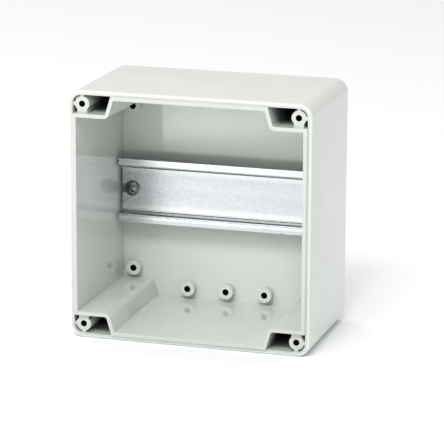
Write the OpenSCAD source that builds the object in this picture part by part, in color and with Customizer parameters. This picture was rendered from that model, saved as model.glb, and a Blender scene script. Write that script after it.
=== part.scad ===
// Open enclosure base with a DIN rail.
//
// A nearly square moulded housing stands on one side wall with its opening to
// the front. A top-hat rail is screwed to two bosses on its back wall.
//
// Each piece is drawn with the housing lying on its back, and stand_up() then
// raises it: x runs across the front view, y runs up it, and z rises from the
// back face to the rim. The finished part has its origin below the middle of
// the housing, on the surface that it stands on.

/* [Housing] */
// Width across the front
base_w = 130; // [112:1:240]
// Height of the front
base_h = 132; // [112:1:240]
// Depth from the back face to the rim
base_d = 75; // [45:1:140]
// Radius of the four long outer edges
corner_r = 7; // [4:0.5:8]
// Radius of the edges round the back face
back_edge_r = 2.5; // [0.5:0.1:3.5]
// Thickness of the back wall
back_t = 3; // [2:0.1:6]
// Lean of the cavity walls, so that the moulding leaves its tool, in degrees
draft = 1; // [0:0.1:2]

/* [Rim] */
// Thickness of the side walls at the rim
wall_t = 4.4; // [3.6:0.1:5]
// Width of the raised tongue, which the lid closes over
tongue_w = 2; // [1.2:0.1:2.4]
// Height of the tongue over the outer shoulder
tongue_h = 1; // [0.4:0.1:2]
// Radius of the outer edge of the shoulder
shoulder_r = 1.5; // [0.2:0.1:1.5]

/* [Corner pockets] */
// Length of a pocket along the top or bottom wall, with its end wall
pocket_l = 26; // [22:0.5:30]
// Height of a pocket, with its partition
pocket_h = 14.2; // [12.5:0.1:16]
// How far the end wall leans towards the corner at the partition
pocket_lean = 4.2; // [1:0.1:5]
// Radius of the bend between partition and end wall
pocket_r = 3.5; // [2.5:0.1:4]
// Drop from the rim to the ends of the screw tubes and their ribs
post_drop = 2; // [1:0.1:4]
// Drop from the rim to the floor of the gap behind each tube
gap_drop = 4.5; // [4:0.1:10]

/* [Lid screw tubes] */
// Distance of a tube's axis from the two outer faces
tube_inset = 7.3; // [7:0.1:7.6]
// Outer diameter of a tube
tube_d = 7.8; // [7:0.1:8.2]
// Bore for a lid screw
lid_bore_d = 3.2; // [2:0.1:4.5]
// Depth of that bore
lid_bore_depth = 22; // [8:1:35]
// Thickness of the ribs from a tube to the outer skin
tube_rib_t = 2; // [1.2:0.1:2.4]
// Thickness of the web from a tube to the partition
tube_web_t = 5.4; // [3:0.1:6]

/* [Wall mounting] */
// Diameter of the screw holes through the back wall
mount_hole_d = 5; // [3:0.1:6.5]
// Distance of a hole's axis from the outer side face
mount_inset = 16.5; // [15.5:0.1:17]

/* [Bosses] */
// Outer diameter of a boss
boss_d = 8; // [6.5:0.1:9]
// Height of a boss over the back wall
boss_h = 4.5; // [3:0.1:12]
// Blind hole in a boss
boss_bore_d = 3.4; // [2.5:0.1:4]
// Plastic left under that hole
boss_floor_t = 1; // [0.8:0.1:2]
// Distance of the side columns of bosses from the outer side face
boss_side_inset = 12.5; // [12:0.1:15]
// Distance of the outer bosses of a column from the top or bottom face
boss_end_inset = 21; // [20:0.1:22]
// Distance of the boss rows from the top or bottom face
boss_row_inset = 11.6; // [10.5:0.1:13]
// Spacing of the bosses in a row
boss_pitch = 21.7; // [15:0.1:22]

/* [Rail] */
// Width over the lips
rail_w = 35; // [30:0.5:40]
// Outer width of the channel
rail_channel_w = 27; // [20:0.5:28]
// Depth from the lips to the back of the web
rail_depth = 7.5; // [5:0.5:15]
// Thickness of the sheet
rail_t = 1; // [0.8:0.1:1.5]
// Inner radius of the folds
rail_fold_r = 0.5; // [0.2:0.1:0.8]
// Free space between a rail end and the side wall beside it
rail_gap = 1.1; // [0.5:0.1:4]
// Width of the slot that is open to each rail end
rail_slot_w = 5; // [4.2:0.1:6]

/* [Rail screws] */
// Head diameter
screw_head_d = 8; // [7:0.1:9]
// Head height
screw_head_h = 2.6; // [2:0.1:3.5]
// Straight edge below the dome of the head
screw_edge_h = 1.2; // [0.6:0.1:1.6]
// Free space round the shank in its boss
screw_clearance = 0.1; // [0.05:0.05:0.4]
// Free space under the shank's tip
screw_tip_gap = 0.6; // [0.2:0.1:2]
// Length of the wings of the cross recess
recess_l = 4.6; // [3:0.1:5.5]
// Width of the wings
recess_w = 1.1; // [0.6:0.1:1.5]
// Depth of the cross recess
recess_depth = 1.5; // [0.8:0.1:1.8]

/* [Hidden] */
$fn = 64;

overcut = 1;                                 // how far a cut runs out of the solid
skin_t = wall_t - tongue_w;                  // outer shoulder, and skin round a pocket
shoulder_z = base_d - tongue_h;
post_z = base_d - post_drop;
inner_w = base_w - 2 * wall_t;               // cavity at the rim
inner_h = base_h - 2 * wall_t;
draft_in = (base_d - back_t) * tan(draft);   // cavity wall's shift at the back wall
tube_x = base_w / 2 - tube_inset;
tube_y = base_h / 2 - tube_inset;
mount_x = base_w / 2 - mount_inset;
boss_x = base_w / 2 - boss_side_inset;
boss_end_y = base_h / 2 - boss_end_inset;
boss_row_y = base_h / 2 - boss_row_inset;
boss_z = back_t + boss_h;
rail_l = inner_w - 2 * draft_in - 2 * rail_gap;
screw_z = boss_z + rail_t;                   // underside of a screw head
screw_shank_d = boss_bore_d - 2 * screw_clearance;

// Angle of a pocket's end wall, and the centre of its bend to the partition
lean_a = atan(pocket_lean / pocket_h);
bend_y = base_h / 2 - pocket_h + pocket_r;
bend_x = base_w / 2 - pocket_l + pocket_r / cos(lean_a) + (pocket_h - pocket_r) * tan(lean_a);

module stand_up() {
  translate([0, base_d / 2, base_h / 2]) rotate([90, 0, 0]) children();
}

// Repeats what is drawn in the upper right quarter in all four
module four_ways() {
  for (flip_x = [0, 1], flip_y = [0, 1])
    mirror([flip_x, 0, 0]) mirror([0, flip_y, 0]) children();
}

// Section from a long outer edge's axis outwards, with both its edges rounded
module edge_section() {
  square([corner_r - back_edge_r, base_d / 2]);
  translate([0, back_edge_r]) square([corner_r, shoulder_z - back_edge_r - shoulder_r]);
  translate([0, base_d / 2]) square([corner_r - shoulder_r, shoulder_z - base_d / 2]);
  translate([corner_r - back_edge_r, back_edge_r]) circle(back_edge_r);
  translate([corner_r - shoulder_r, shoulder_z - shoulder_r]) circle(shoulder_r);
}

// Solid block of the housing up to the shoulder
module outer_block() {
  core_w = base_w - 2 * corner_r;
  core_h = base_h - 2 * corner_r;
  translate([-core_w / 2, -core_h / 2, 0]) cube([core_w, core_h, shoulder_z]);
  four_ways() translate([core_w / 2, core_h / 2, 0])
    rotate_extrude(angle = 90) edge_section();
  for (side = [0, 180]) rotate([0, 0, side]) {
    translate([core_w / 2, core_h / 2, 0]) rotate([90, 0, 0])
      linear_extrude(core_h) edge_section();
    translate([-core_w / 2, core_h / 2, 0]) rotate([90, 0, 90])
      linear_extrude(core_w) edge_section();
  }
}

// Points of an arc between two angles
function arc(centre, r, from, to, steps = 10) =
  [for (i = [0:steps]) let (a = from + (to - from) * i / steps) centre + r * [cos(a), sin(a)]];

// Corner that the cavity leaves to a pocket, with its faces moved in by inset
module pocket_corner(inset) {
  r = pocket_r - inset;
  end_top_x = base_w / 2 - pocket_l + inset / cos(lean_a);
  polygon([
    [end_top_x, base_h / 2],
    each arc([bend_x, bend_y], r, 180 + lean_a, 270),
    [base_w / 2, bend_y - r],
    [base_w / 2, base_h / 2]
  ]);
}

// Front view of the cavity, with all its faces moved out by grow
module cavity_outline(grow) {
  difference() {
    square([inner_w + 2 * grow, inner_h + 2 * grow], center = true);
    four_ways() pocket_corner(grow);
  }
}

module cavity() {
  floor_scale = [1 - 2 * draft_in / inner_w, 1 - 2 * draft_in / inner_h];
  over = 2 * overcut * tan(draft);
  top_scale = [(inner_w + over) / inner_w, (inner_h + over) / inner_h];
  translate([0, 0, back_t])
    linear_extrude(base_d - back_t + overcut, slices = 1,
                   scale = [top_scale.x / floor_scale.x, top_scale.y / floor_scale.y])
      scale(floor_scale) cavity_outline(0);
}

// Area of a pocket inside the outer skin
module pocket_area() {
  skin_r = corner_r - skin_t;
  intersection() {
    pocket_corner(tongue_w);
    union() {
      square([base_w / 2 - skin_t, base_h / 2 - corner_r]);
      square([base_w / 2 - corner_r, base_h / 2 - skin_t]);
      translate([base_w / 2 - corner_r, base_h / 2 - corner_r]) circle(skin_r);
    }
  }
}

// Screw tube with its ribs to the outer skin and its web to the partition
module post_section() {
  translate([tube_x, tube_y]) {
    circle(d = tube_d);
    translate([0, -tube_rib_t / 2]) square([tube_inset, tube_rib_t]);
    translate([-tube_rib_t / 2, 0]) square([tube_rib_t, tube_inset]);
    translate([-tube_web_t / 2, -pocket_h]) square([tube_web_t, pocket_h]);
  }
}

module pocket() {
  // the deep pocket and the narrow slot beside the web
  translate([0, 0, back_t]) linear_extrude(base_d) difference() {
    pocket_area();
    post_section();
    translate([tube_x, tube_y]) square(tube_inset);
  }
  // the shallow gap behind the tube
  translate([0, 0, base_d - gap_drop]) linear_extrude(base_d) difference() {
    pocket_area();
    post_section();
  }
  // the room over the posts
  translate([0, 0, post_z]) linear_extrude(base_d) pocket_area();
}

// Places one child at each boss
module at_bosses() {
  for (x = [-1, 1] * boss_x, y = [-1, 0, 1] * boss_end_y) translate([x, y, 0]) children();
  for (x = [-1, 0, 1] * boss_pitch, y = [-1, 1] * boss_row_y) translate([x, y, 0]) children();
}

module housing() {
  difference() {
    union() {
      difference() {
        union() {
          outer_block();
          translate([0, 0, back_t]) linear_extrude(base_d - back_t) cavity_outline(tongue_w);
        }
        cavity();
        four_ways() pocket();
      }
      at_bosses() translate([0, 0, back_t / 2]) cylinder(d = boss_d, h = boss_z - back_t / 2);
    }
    at_bosses() translate([0, 0, boss_floor_t]) cylinder(d = boss_bore_d, h = boss_z);
    four_ways() {
      translate([tube_x, tube_y, post_z - lid_bore_depth])
        cylinder(d = lid_bore_d, h = lid_bore_depth + overcut);
      translate([mount_x, tube_y, -overcut])
        cylinder(d = mount_hole_d, h = back_t + 2 * overcut);
    }
  }
}

// Quarter of a bent strip, in the quarter plane that quarter * 90 degrees gives
module fold(quarter) {
  reach = rail_fold_r + rail_t;
  rotate(quarter * 90) intersection() {
    difference() {
      circle(reach);
      circle(rail_fold_r);
    }
    square(reach);
  }
}

// Half of the rail's section, from the middle of the web to the edge of a lip
module rail_half() {
  reach = rail_fold_r + rail_t;
  side_x = rail_channel_w / 2;
  square([side_x - reach, rail_t]);
  translate([side_x - reach, reach]) fold(3);
  translate([side_x - rail_t, reach]) square([rail_t, rail_depth - 2 * reach]);
  translate([side_x + rail_fold_r, rail_depth - reach]) fold(1);
  translate([side_x + rail_fold_r, rail_depth - rail_t])
    square([rail_w / 2 - side_x - rail_fold_r, rail_t]);
}

module rail() {
  slot_run = rail_l / 2 - boss_x;
  difference() {
    translate([-rail_l / 2, 0, boss_z]) rotate([90, 0, 90]) linear_extrude(rail_l) {
      rail_half();
      mirror([1, 0]) rail_half();
    }
    for (end = [0, 180]) rotate([0, 0, end]) translate([boss_x, 0, boss_z - overcut]) {
      cylinder(d = rail_slot_w, h = rail_t + 2 * overcut);
      translate([0, -rail_slot_w / 2, 0])
        cube([slot_run + overcut, rail_slot_w, rail_t + 2 * overcut]);
    }
  }
}

// Pan-head screw with its head's underside at z = 0
module rail_screw() {
  head_r = screw_head_d / 2;
  rise = screw_head_h - screw_edge_h;
  dome_r = (head_r * head_r + rise * rise) / (2 * rise);
  shank_l = screw_z - boss_floor_t - screw_tip_gap;
  tip_l = screw_shank_d / 4;
  difference() {
    rotate_extrude() intersection() {
      square([head_r, screw_head_h]);
      translate([0, screw_head_h - dome_r]) circle(dome_r);
    }
    translate([0, 0, screw_head_h - recess_depth]) for (wing = [45, 135]) rotate(wing)
      translate([-recess_l / 2, -recess_w / 2, 0]) cube([recess_l, recess_w, screw_head_h]);
  }
  translate([0, 0, tip_l - shank_l]) cylinder(d = screw_shank_d, h = shank_l - tip_l);
  translate([0, 0, -shank_l]) cylinder(d1 = screw_shank_d / 2, d2 = screw_shank_d, h = tip_l);
}

module base() {
  color([0.84, 0.86, 0.84]) stand_up() housing();
}

module din_rail() {
  color([0.76, 0.79, 0.82]) stand_up() rail();
}

module rail_screw_left() {
  color([0.42, 0.43, 0.44]) stand_up() translate([-boss_x, 0, screw_z]) rail_screw();
}

module rail_screw_right() {
  color([0.42, 0.43, 0.44]) stand_up() translate([boss_x, 0, screw_z]) rail_screw();
}

base();
din_rail();
rail_screw_left();
rail_screw_right();
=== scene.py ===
from math import pi, radians

import bmesh
import bpy
from mathutils import Matrix, Vector
from mathutils.bvhtree import BVHTree


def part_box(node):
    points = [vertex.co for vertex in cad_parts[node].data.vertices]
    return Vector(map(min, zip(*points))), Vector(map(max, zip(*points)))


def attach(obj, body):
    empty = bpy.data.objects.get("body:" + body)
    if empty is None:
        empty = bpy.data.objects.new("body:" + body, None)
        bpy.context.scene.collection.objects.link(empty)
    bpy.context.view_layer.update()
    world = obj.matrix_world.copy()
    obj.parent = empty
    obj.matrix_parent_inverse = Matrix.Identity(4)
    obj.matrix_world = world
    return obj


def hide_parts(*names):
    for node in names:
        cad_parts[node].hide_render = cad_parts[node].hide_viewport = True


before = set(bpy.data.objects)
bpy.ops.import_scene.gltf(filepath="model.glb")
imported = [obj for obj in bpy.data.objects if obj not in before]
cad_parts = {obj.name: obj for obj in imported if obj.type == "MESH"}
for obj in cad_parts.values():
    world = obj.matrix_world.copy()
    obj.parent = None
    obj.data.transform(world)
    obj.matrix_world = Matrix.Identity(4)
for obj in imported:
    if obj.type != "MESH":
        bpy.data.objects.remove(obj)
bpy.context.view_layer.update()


# The camera.
# It stands well back in front of the open side, a little to the right and above, and looks
# down into the housing through a long lens.
view_azimuth = radians(16.83)
view_elevation = radians(14.18)
view_roll = radians(0.27)
view_distance = 1.3763
view_aside = Vector((0.0175, 0.00102, 0.0))    # the housing stands left of the frame's middle
view_end = 20
lens_mm = 217.95

housing_low, housing_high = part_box("base")
housing_middle = (housing_low + housing_high) / 2
rim_middle = Vector((housing_middle.x, housing_low.y, housing_middle.z))

camera_data = bpy.data.cameras.new("camera")
camera_data.lens = lens_mm
camera_data.clip_end = view_end
camera = bpy.data.objects.new("camera", camera_data)
view_turn = (Matrix.Rotation(view_azimuth, 4, "Z")
             @ Matrix.Rotation(radians(90) - view_elevation, 4, "X")
             @ Matrix.Rotation(view_roll, 4, "Z"))
camera.matrix_world = (Matrix.Translation(rim_middle) @ view_turn
                       @ Matrix.Translation(view_aside + Vector((0, 0, view_distance))))
bpy.context.scene.collection.objects.link(camera)
bpy.context.scene.camera = camera


# The floor.
# A plain white studio table of smooth, slightly satin board. It is wide enough to fill the view
# behind the housing, which stands loose on it.
table_radius = 4.0
table_sides = 64
table_white = (0.92, 0.95, 0.95, 1)
table_roughness = 0.6
table_specular = 0.1
table_glow = 0.02

table_material = bpy.data.materials.new("white_table")
table_material.use_nodes = True
table_shader = table_material.node_tree.nodes["Principled BSDF"]
table_shader.inputs["Base Color"].default_value = table_white
table_shader.inputs["Roughness"].default_value = table_roughness
table_shader.inputs["Specular IOR Level"].default_value = table_specular
table_shader.inputs["Emission Color"].default_value = (1, 1, 1, 1)
table_shader.inputs["Emission Strength"].default_value = table_glow

table_mesh = bpy.data.meshes.new("floor")
disc = bmesh.new()
bmesh.ops.create_circle(disc, cap_ends=True, segments=table_sides, radius=table_radius)
disc.to_mesh(table_mesh)
disc.free()
table_mesh.materials.append(table_material)
floor = bpy.data.objects.new("floor", table_mesh)
bpy.context.scene.collection.objects.link(floor)


# The studio light.
# A white room with three soft lamps high in front, a broad one on the left and one behind on the
# left. Two bright panels lie on the table in front of the housing and show in its gloss.
room_white = (1.0, 0.965, 0.965, 1)            # a trace of pink, against the greenish plastic
room_strength = 0.54
lamp_distance = 1.8
panel_height = 0.15
panel_inward = 0.9                             # the panels lean a little to the middle
panel_lean = 0.02                              # and to the housing
panel_throw = 0.06

bpy.context.scene.view_settings.view_transform = "Standard"
bpy.context.scene.view_settings.look = "High Contrast"

room = bpy.data.worlds.new("white_room")
room.use_nodes = True
room.node_tree.nodes["Background"].inputs["Color"].default_value = room_white
room.node_tree.nodes["Background"].inputs["Strength"].default_value = room_strength
bpy.context.scene.world = room


def flat_lamp(name, place, width, height, radiance):
    """A rectangular lamp that shines down its own Z axis, with a radiance in W/(m2 sr)."""
    data = bpy.data.lights.new(name, "AREA")
    data.shape = "RECTANGLE"
    data.size = width
    data.size_y = height
    data.energy = radiance * width * height * pi
    data.color = room_white[:3]
    lamp = bpy.data.objects.new(name, data)
    lamp.matrix_world = place
    bpy.context.scene.collection.objects.link(lamp)


def soft_light(name, azimuth, elevation, width, height, radiance):
    """A lamp that faces the housing: azimuth from the front towards the left, in degrees."""
    swing = (Matrix.Rotation(radians(-azimuth), 4, "Z")
             @ Matrix.Rotation(radians(90 - elevation), 4, "X"))
    place = (Matrix.Translation(housing_middle) @ swing
             @ Matrix.Translation((0, 0, lamp_distance)))
    flat_lamp(name, place, width, height, radiance)


def floor_panel(name, spot, width, radiance):
    """A bright panel that lies on the table and faces up, leaning to the housing."""
    aim = Vector((spot.x * panel_inward, spot.y + panel_lean, panel_throw))
    turn = (aim - spot).to_track_quat("-Z", "Y").to_matrix().to_4x4()
    flat_lamp(name, Matrix.Translation(spot) @ turn, width, panel_height, radiance)


soft_light("key", 0, 46, width=0.45, height=0.45, radiance=5.4)
soft_light("key_high", 0, 54, width=0.45, height=0.45, radiance=3.8)
soft_light("key_right", -15, 46, width=0.45, height=0.45, radiance=5.7)
soft_light("window_left", 30, 30, width=1.2, height=0.9, radiance=1.25)
soft_light("back_left", 125, 45, width=0.9, height=0.7, radiance=1.2)
floor_panel("panel_near", Vector((-0.05, -0.27, 0.004)), width=0.2, radiance=0.7)
floor_panel("panel_middle", Vector((-0.13, -0.40, 0.004)), width=0.25, radiance=1.75)


# The housing.
# One light grey injection moulding with a high gloss from the polished tool. The copy of the
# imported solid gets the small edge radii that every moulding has. The rim, the deep pockets and
# the bores are painted matt and darker, because this soft light leaves them too bright.
moulded_radius = 0.0002
radius_steps = 2
merge_distance = 1e-6
flat_angle = radians(0.3)
sharp_angle = radians(25)
rim_depth = 0.0025                             # takes in both the tongue and the shoulder
bore_width = (0.0031, 0.0035)                  # the least and the most across a bore
pocket_width = 0.024                           # the most across a pocket
pocket_back = 0.030                            # no wall of a pocket has its middle behind this y
pocket_shade = (0.006, 0.040)                  # how deep a pocket starts and ends to darken
plastic_dark = (0.670, 0.712, 0.680, 1)
plastic_light = (0.700, 0.738, 0.710, 1)
# the rim's two tones are painted shade, darker than the plastic
rim_shade_dark = (0.550, 0.575, 0.550, 1)
rim_shade_light = (0.570, 0.597, 0.573, 1)
# the painted shade at a pocket's back end
pocket_deep_shade = (0.10, 0.11, 0.10, 1)
# the bores' near-black is painted shade
bore_shade_dark = (0.02, 0.024, 0.02, 1)
bore_shade_light = (0.03, 0.035, 0.03, 1)
bore_roughness = 0.7
bore_specular = 0.1
ripple_depth = 0.000012


def finished_copy(node, name, radius):
    """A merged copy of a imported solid, smooth over its curves, with small radii on its edges."""
    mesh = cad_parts[node].data.copy()
    mesh.materials.clear()
    solid = bmesh.new()
    solid.from_mesh(mesh)
    bmesh.ops.remove_doubles(solid, verts=solid.verts, dist=merge_distance)
    bmesh.ops.dissolve_limit(solid, angle_limit=flat_angle,
                             verts=solid.verts, edges=solid.edges)
    for face in solid.faces:
        face.smooth = True
        face.material_index = 0
    for edge in solid.edges:
        edge.smooth = edge.calc_face_angle(0) < sharp_angle
    solid.to_mesh(mesh)
    solid.free()
    copy = bpy.data.objects.new(name, mesh)
    bpy.context.scene.collection.objects.link(copy)
    radii = copy.modifiers.new("edge_radii", "BEVEL")
    radii.width = radius
    radii.segments = radius_steps
    radii.limit_method = "ANGLE"
    radii.angle_limit = sharp_angle
    radii.harden_normals = True
    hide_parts(node)
    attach(copy, "root")
    return copy


def grain_group():
    """Soft blotches as a mask from Low to High, which the plastic and both metals use."""
    group = bpy.data.node_groups.new("grain", "ShaderNodeTree")
    sockets = group.interface
    sockets.new_socket("Vector", in_out="INPUT", socket_type="NodeSocketVector")
    sockets.new_socket("Scale", in_out="INPUT", socket_type="NodeSocketFloat")
    sockets.new_socket("Low", in_out="INPUT", socket_type="NodeSocketFloat")
    sockets.new_socket("High", in_out="INPUT", socket_type="NodeSocketFloat")
    sockets.new_socket("Mask", in_out="OUTPUT", socket_type="NodeSocketFloat")
    nodes, links = group.nodes, group.links
    given = nodes.new("NodeGroupInput")
    noise = nodes.new("ShaderNodeTexNoise")
    noise.inputs["Detail"].default_value = 3
    spread = nodes.new("ShaderNodeMapRange")
    spread.inputs["From Min"].default_value = 0.3
    spread.inputs["From Max"].default_value = 0.7
    result = nodes.new("NodeGroupOutput")
    links.new(given.outputs["Vector"], noise.inputs["Vector"])
    links.new(given.outputs["Scale"], noise.inputs["Scale"])
    links.new(given.outputs["Low"], spread.inputs["To Min"])
    links.new(given.outputs["High"], spread.inputs["To Max"])
    links.new(noise.outputs["Fac"], spread.inputs["Value"])
    links.new(spread.outputs["Result"], result.inputs["Mask"])
    return group


grain = grain_group()


def grain_mask(material, scale, low=0, high=1, stretch=(1, 1, 1)):
    """Places the grain in a material, stretched along an axis, and returns its mask."""
    nodes, links = material.node_tree.nodes, material.node_tree.links
    coordinates = nodes.new("ShaderNodeTexCoord")
    mapping = nodes.new("ShaderNodeMapping")
    mapping.inputs["Scale"].default_value = stretch
    blotches = nodes.new("ShaderNodeGroup")
    blotches.node_tree = grain
    blotches.inputs["Scale"].default_value = scale
    blotches.inputs["Low"].default_value = low
    blotches.inputs["High"].default_value = high
    links.new(coordinates.outputs["Object"], mapping.inputs["Vector"])
    links.new(mapping.outputs["Vector"], blotches.inputs["Vector"])
    return blotches.outputs["Mask"]


def distance_along(material, axis):
    """The distance along one axis of the object, in metres, as an output in a material."""
    nodes = material.node_tree.nodes
    coordinates = nodes.new("ShaderNodeTexCoord")
    split = nodes.new("ShaderNodeSeparateXYZ")
    material.node_tree.links.new(coordinates.outputs["Object"], split.inputs["Vector"])
    return split.outputs[axis]


def new_finish(name):
    """A material with a plain shader."""
    material = bpy.data.materials.new(name)
    material.use_nodes = True
    return material


def shader_socket(material, name):
    """A socket of the material's one shader."""
    return material.node_tree.nodes["Principled BSDF"].inputs[name]


def feed(material, socket, output):
    """Lets an output drive a socket of the material's shader."""
    material.node_tree.links.new(output, shader_socket(material, socket))


def blended(material, mask, low, high):
    """A blend from low to high as the mask goes from 0 to 1: each is a colour or an output."""
    blend = material.node_tree.nodes.new("ShaderNodeMix")
    blend.data_type = "RGBA"
    material.node_tree.links.new(mask, blend.inputs["Factor"])
    for socket, colour in (("A", low), ("B", high)):
        if isinstance(colour, bpy.types.NodeSocket):
            material.node_tree.links.new(colour, blend.inputs[socket])
        else:
            blend.inputs[socket].default_value = colour
    return blend.outputs["Result"]


def relief(material, mask, depth):
    """A normal that raises the mask as a fine relief, depth in metres."""
    bump = material.node_tree.nodes.new("ShaderNodeBump")
    bump.inputs["Distance"].default_value = depth
    material.node_tree.links.new(mask, bump.inputs["Height"])
    return bump.outputs["Normal"]


moulding = new_finish("grey_moulding")
flow_mask = grain_mask(moulding, scale=35)
feed(moulding, "Base Color", blended(moulding, flow_mask, plastic_dark, plastic_light))
feed(moulding, "Roughness", grain_mask(moulding, scale=900, low=0.045, high=0.085))
feed(moulding, "Normal", relief(moulding, grain_mask(moulding, scale=130), ripple_depth))

# The rim is painted darker than the rest of the moulding: painted shade, as this soft light leaves
# it too bright.
rim = new_finish("matt_rim_painted_shade")
feed(rim, "Base Color", blended(rim, grain_mask(rim, scale=60), rim_shade_dark, rim_shade_light))
feed(rim, "Roughness", grain_mask(rim, scale=1200, low=0.28, high=0.40))

# The bores are painted near-black: painted shade for the shadow deep inside them.
bore = new_finish("bore_painted_shade")
feed(bore, "Base Color", blended(bore, grain_mask(bore, scale=1500), bore_shade_dark, bore_shade_light))
shader_socket(bore, "Roughness").default_value = bore_roughness
shader_socket(bore, "Specular IOR Level").default_value = bore_specular

# A pocket's walls carry painted shade, darker from front to back.
pocket = new_finish("pocket_wall_painted_shade")
shade_with_depth = pocket.node_tree.nodes.new("ShaderNodeMapRange")
shade_with_depth.inputs["From Min"].default_value = housing_low.y + pocket_shade[0]
shade_with_depth.inputs["From Max"].default_value = housing_low.y + pocket_shade[1]
pocket.node_tree.links.new(distance_along(pocket, "Y"), shade_with_depth.inputs["Value"])
feed(pocket, "Base Color",
     blended(pocket, shade_with_depth.outputs["Result"], plastic_dark, pocket_deep_shade))
feed(pocket, "Roughness", grain_mask(pocket, scale=1200, low=0.2, high=0.3))

housing_finishes = [moulding, rim, bore, pocket]
housing = finished_copy("base", "housing", moulded_radius)
for finish in housing_finishes:
    housing.data.materials.append(finish)

# A face that looks at another one across a bore's or a pocket's width is a wall of it, and a
# face near the front that looks straight ahead is the rim's.
ray_start = 1e-5
facing_front = -0.99
shell = bmesh.new()
shell.from_mesh(housing.data)
shell_tree = BVHTree.FromBMesh(shell)
bore_walls = set()
for face in shell.faces:
    middle = face.calc_center_median()
    reach = shell_tree.ray_cast(middle + face.normal * ray_start, face.normal)[3]
    if reach is not None and bore_width[0] < reach < bore_width[1]:
        bore_walls.add(face)
    elif reach is not None and reach < pocket_width and middle.y < pocket_back:
        face.material_index = housing_finishes.index(pocket)
    elif face.normal.y < facing_front and middle.y < housing_low.y + rim_depth:
        face.material_index = housing_finishes.index(rim)

# A bore's end is a face with nothing but the bore's walls round it.
for face in shell.faces:
    ring = {other for edge in face.edges for other in edge.link_faces} - {face}
    if face in bore_walls or ring <= bore_walls:
        face.material_index = housing_finishes.index(bore)
shell.to_mesh(housing.data)
shell.free()


# The rail.
# Folded from zinc-coated steel sheet, and screwed to two bosses of the housing. The coating is
# mottled, and painted highlights run as brighter bands along both sides of each fold.
sheared_radius = 0.00012
zinc_dark = (0.455, 0.480, 0.490, 1)
zinc_light = (0.485, 0.510, 0.525, 1)
# the painted highlight along the folds
zinc_highlight = (0.60, 0.62, 0.625, 1)
mottle_depth = 0.0000015
highlight_reach = 0.02                              # the bands' places are parts of this distance
bands = ((0.40, 0), (0.56, 1), (0.61, 1), (0.63, 0), (0.70, 0), (0.73, 1), (0.80, 0.2),
         (0.87, 0.7))

zinc = new_finish("rail_zinc")
rolled = grain_mask(zinc, scale=500, low=0.25, high=0.29, stretch=(0.6, 1, 1))
shader_socket(zinc, "Metallic").default_value = 1
feed(zinc, "Roughness", rolled)
feed(zinc, "Normal", relief(zinc, grain_mask(zinc, scale=350), mottle_depth))

# The painted highlight bands lie at the same distances above and below the rail's middle.
nodes, links = zinc.node_tree.nodes, zinc.node_tree.links
aside = nodes.new("ShaderNodeMath")
aside.operation = "SUBTRACT"
aside.inputs[1].default_value = rim_middle.z
away = nodes.new("ShaderNodeMath")
away.operation = "ABSOLUTE"
share = nodes.new("ShaderNodeMath")
share.operation = "DIVIDE"
share.inputs[1].default_value = highlight_reach
highlight_ramp = nodes.new("ShaderNodeValToRGB")
stops = highlight_ramp.color_ramp.elements
stops.remove(stops[1])
for number, (place, brightness) in enumerate(bands):
    stop = stops.new(place) if number else stops[0]
    stop.position = place
    stop.color = (brightness, brightness, brightness, 1)
links.new(distance_along(zinc, "Z"), aside.inputs[0])
links.new(aside.outputs["Value"], away.inputs[0])
links.new(away.outputs["Value"], share.inputs[0])
links.new(share.outputs["Value"], highlight_ramp.inputs["Fac"])
mottled = blended(zinc, grain_mask(zinc, scale=650), zinc_dark, zinc_light)
feed(zinc, "Base Color", blended(zinc, highlight_ramp.outputs["Color"], mottled, zinc_highlight))

rail = finished_copy("din_rail", "rail", sheared_radius)
rail.data.materials.append(zinc)


# The rail's screws.
# Two pan-head screws with a cross recess, of dull zinc-plated steel, darker than the rail. They
# hold the rail to the bosses at its ends.
headed_radius = 0.00015
steel_dark = (0.16, 0.165, 0.17, 1)
steel_light = (0.34, 0.345, 0.35, 1)

steel = new_finish("dull_screw_zinc")
shader_socket(steel, "Metallic").default_value = 1
feed(steel, "Base Color", blended(steel, grain_mask(steel, scale=700), steel_dark, steel_light))
feed(steel, "Roughness", grain_mask(steel, scale=1600, low=0.26, high=0.42))

for end in ("left", "right"):
    screw = finished_copy("rail_screw_" + end, "screw_" + end, headed_radius)
    screw.data.materials.append(steel)
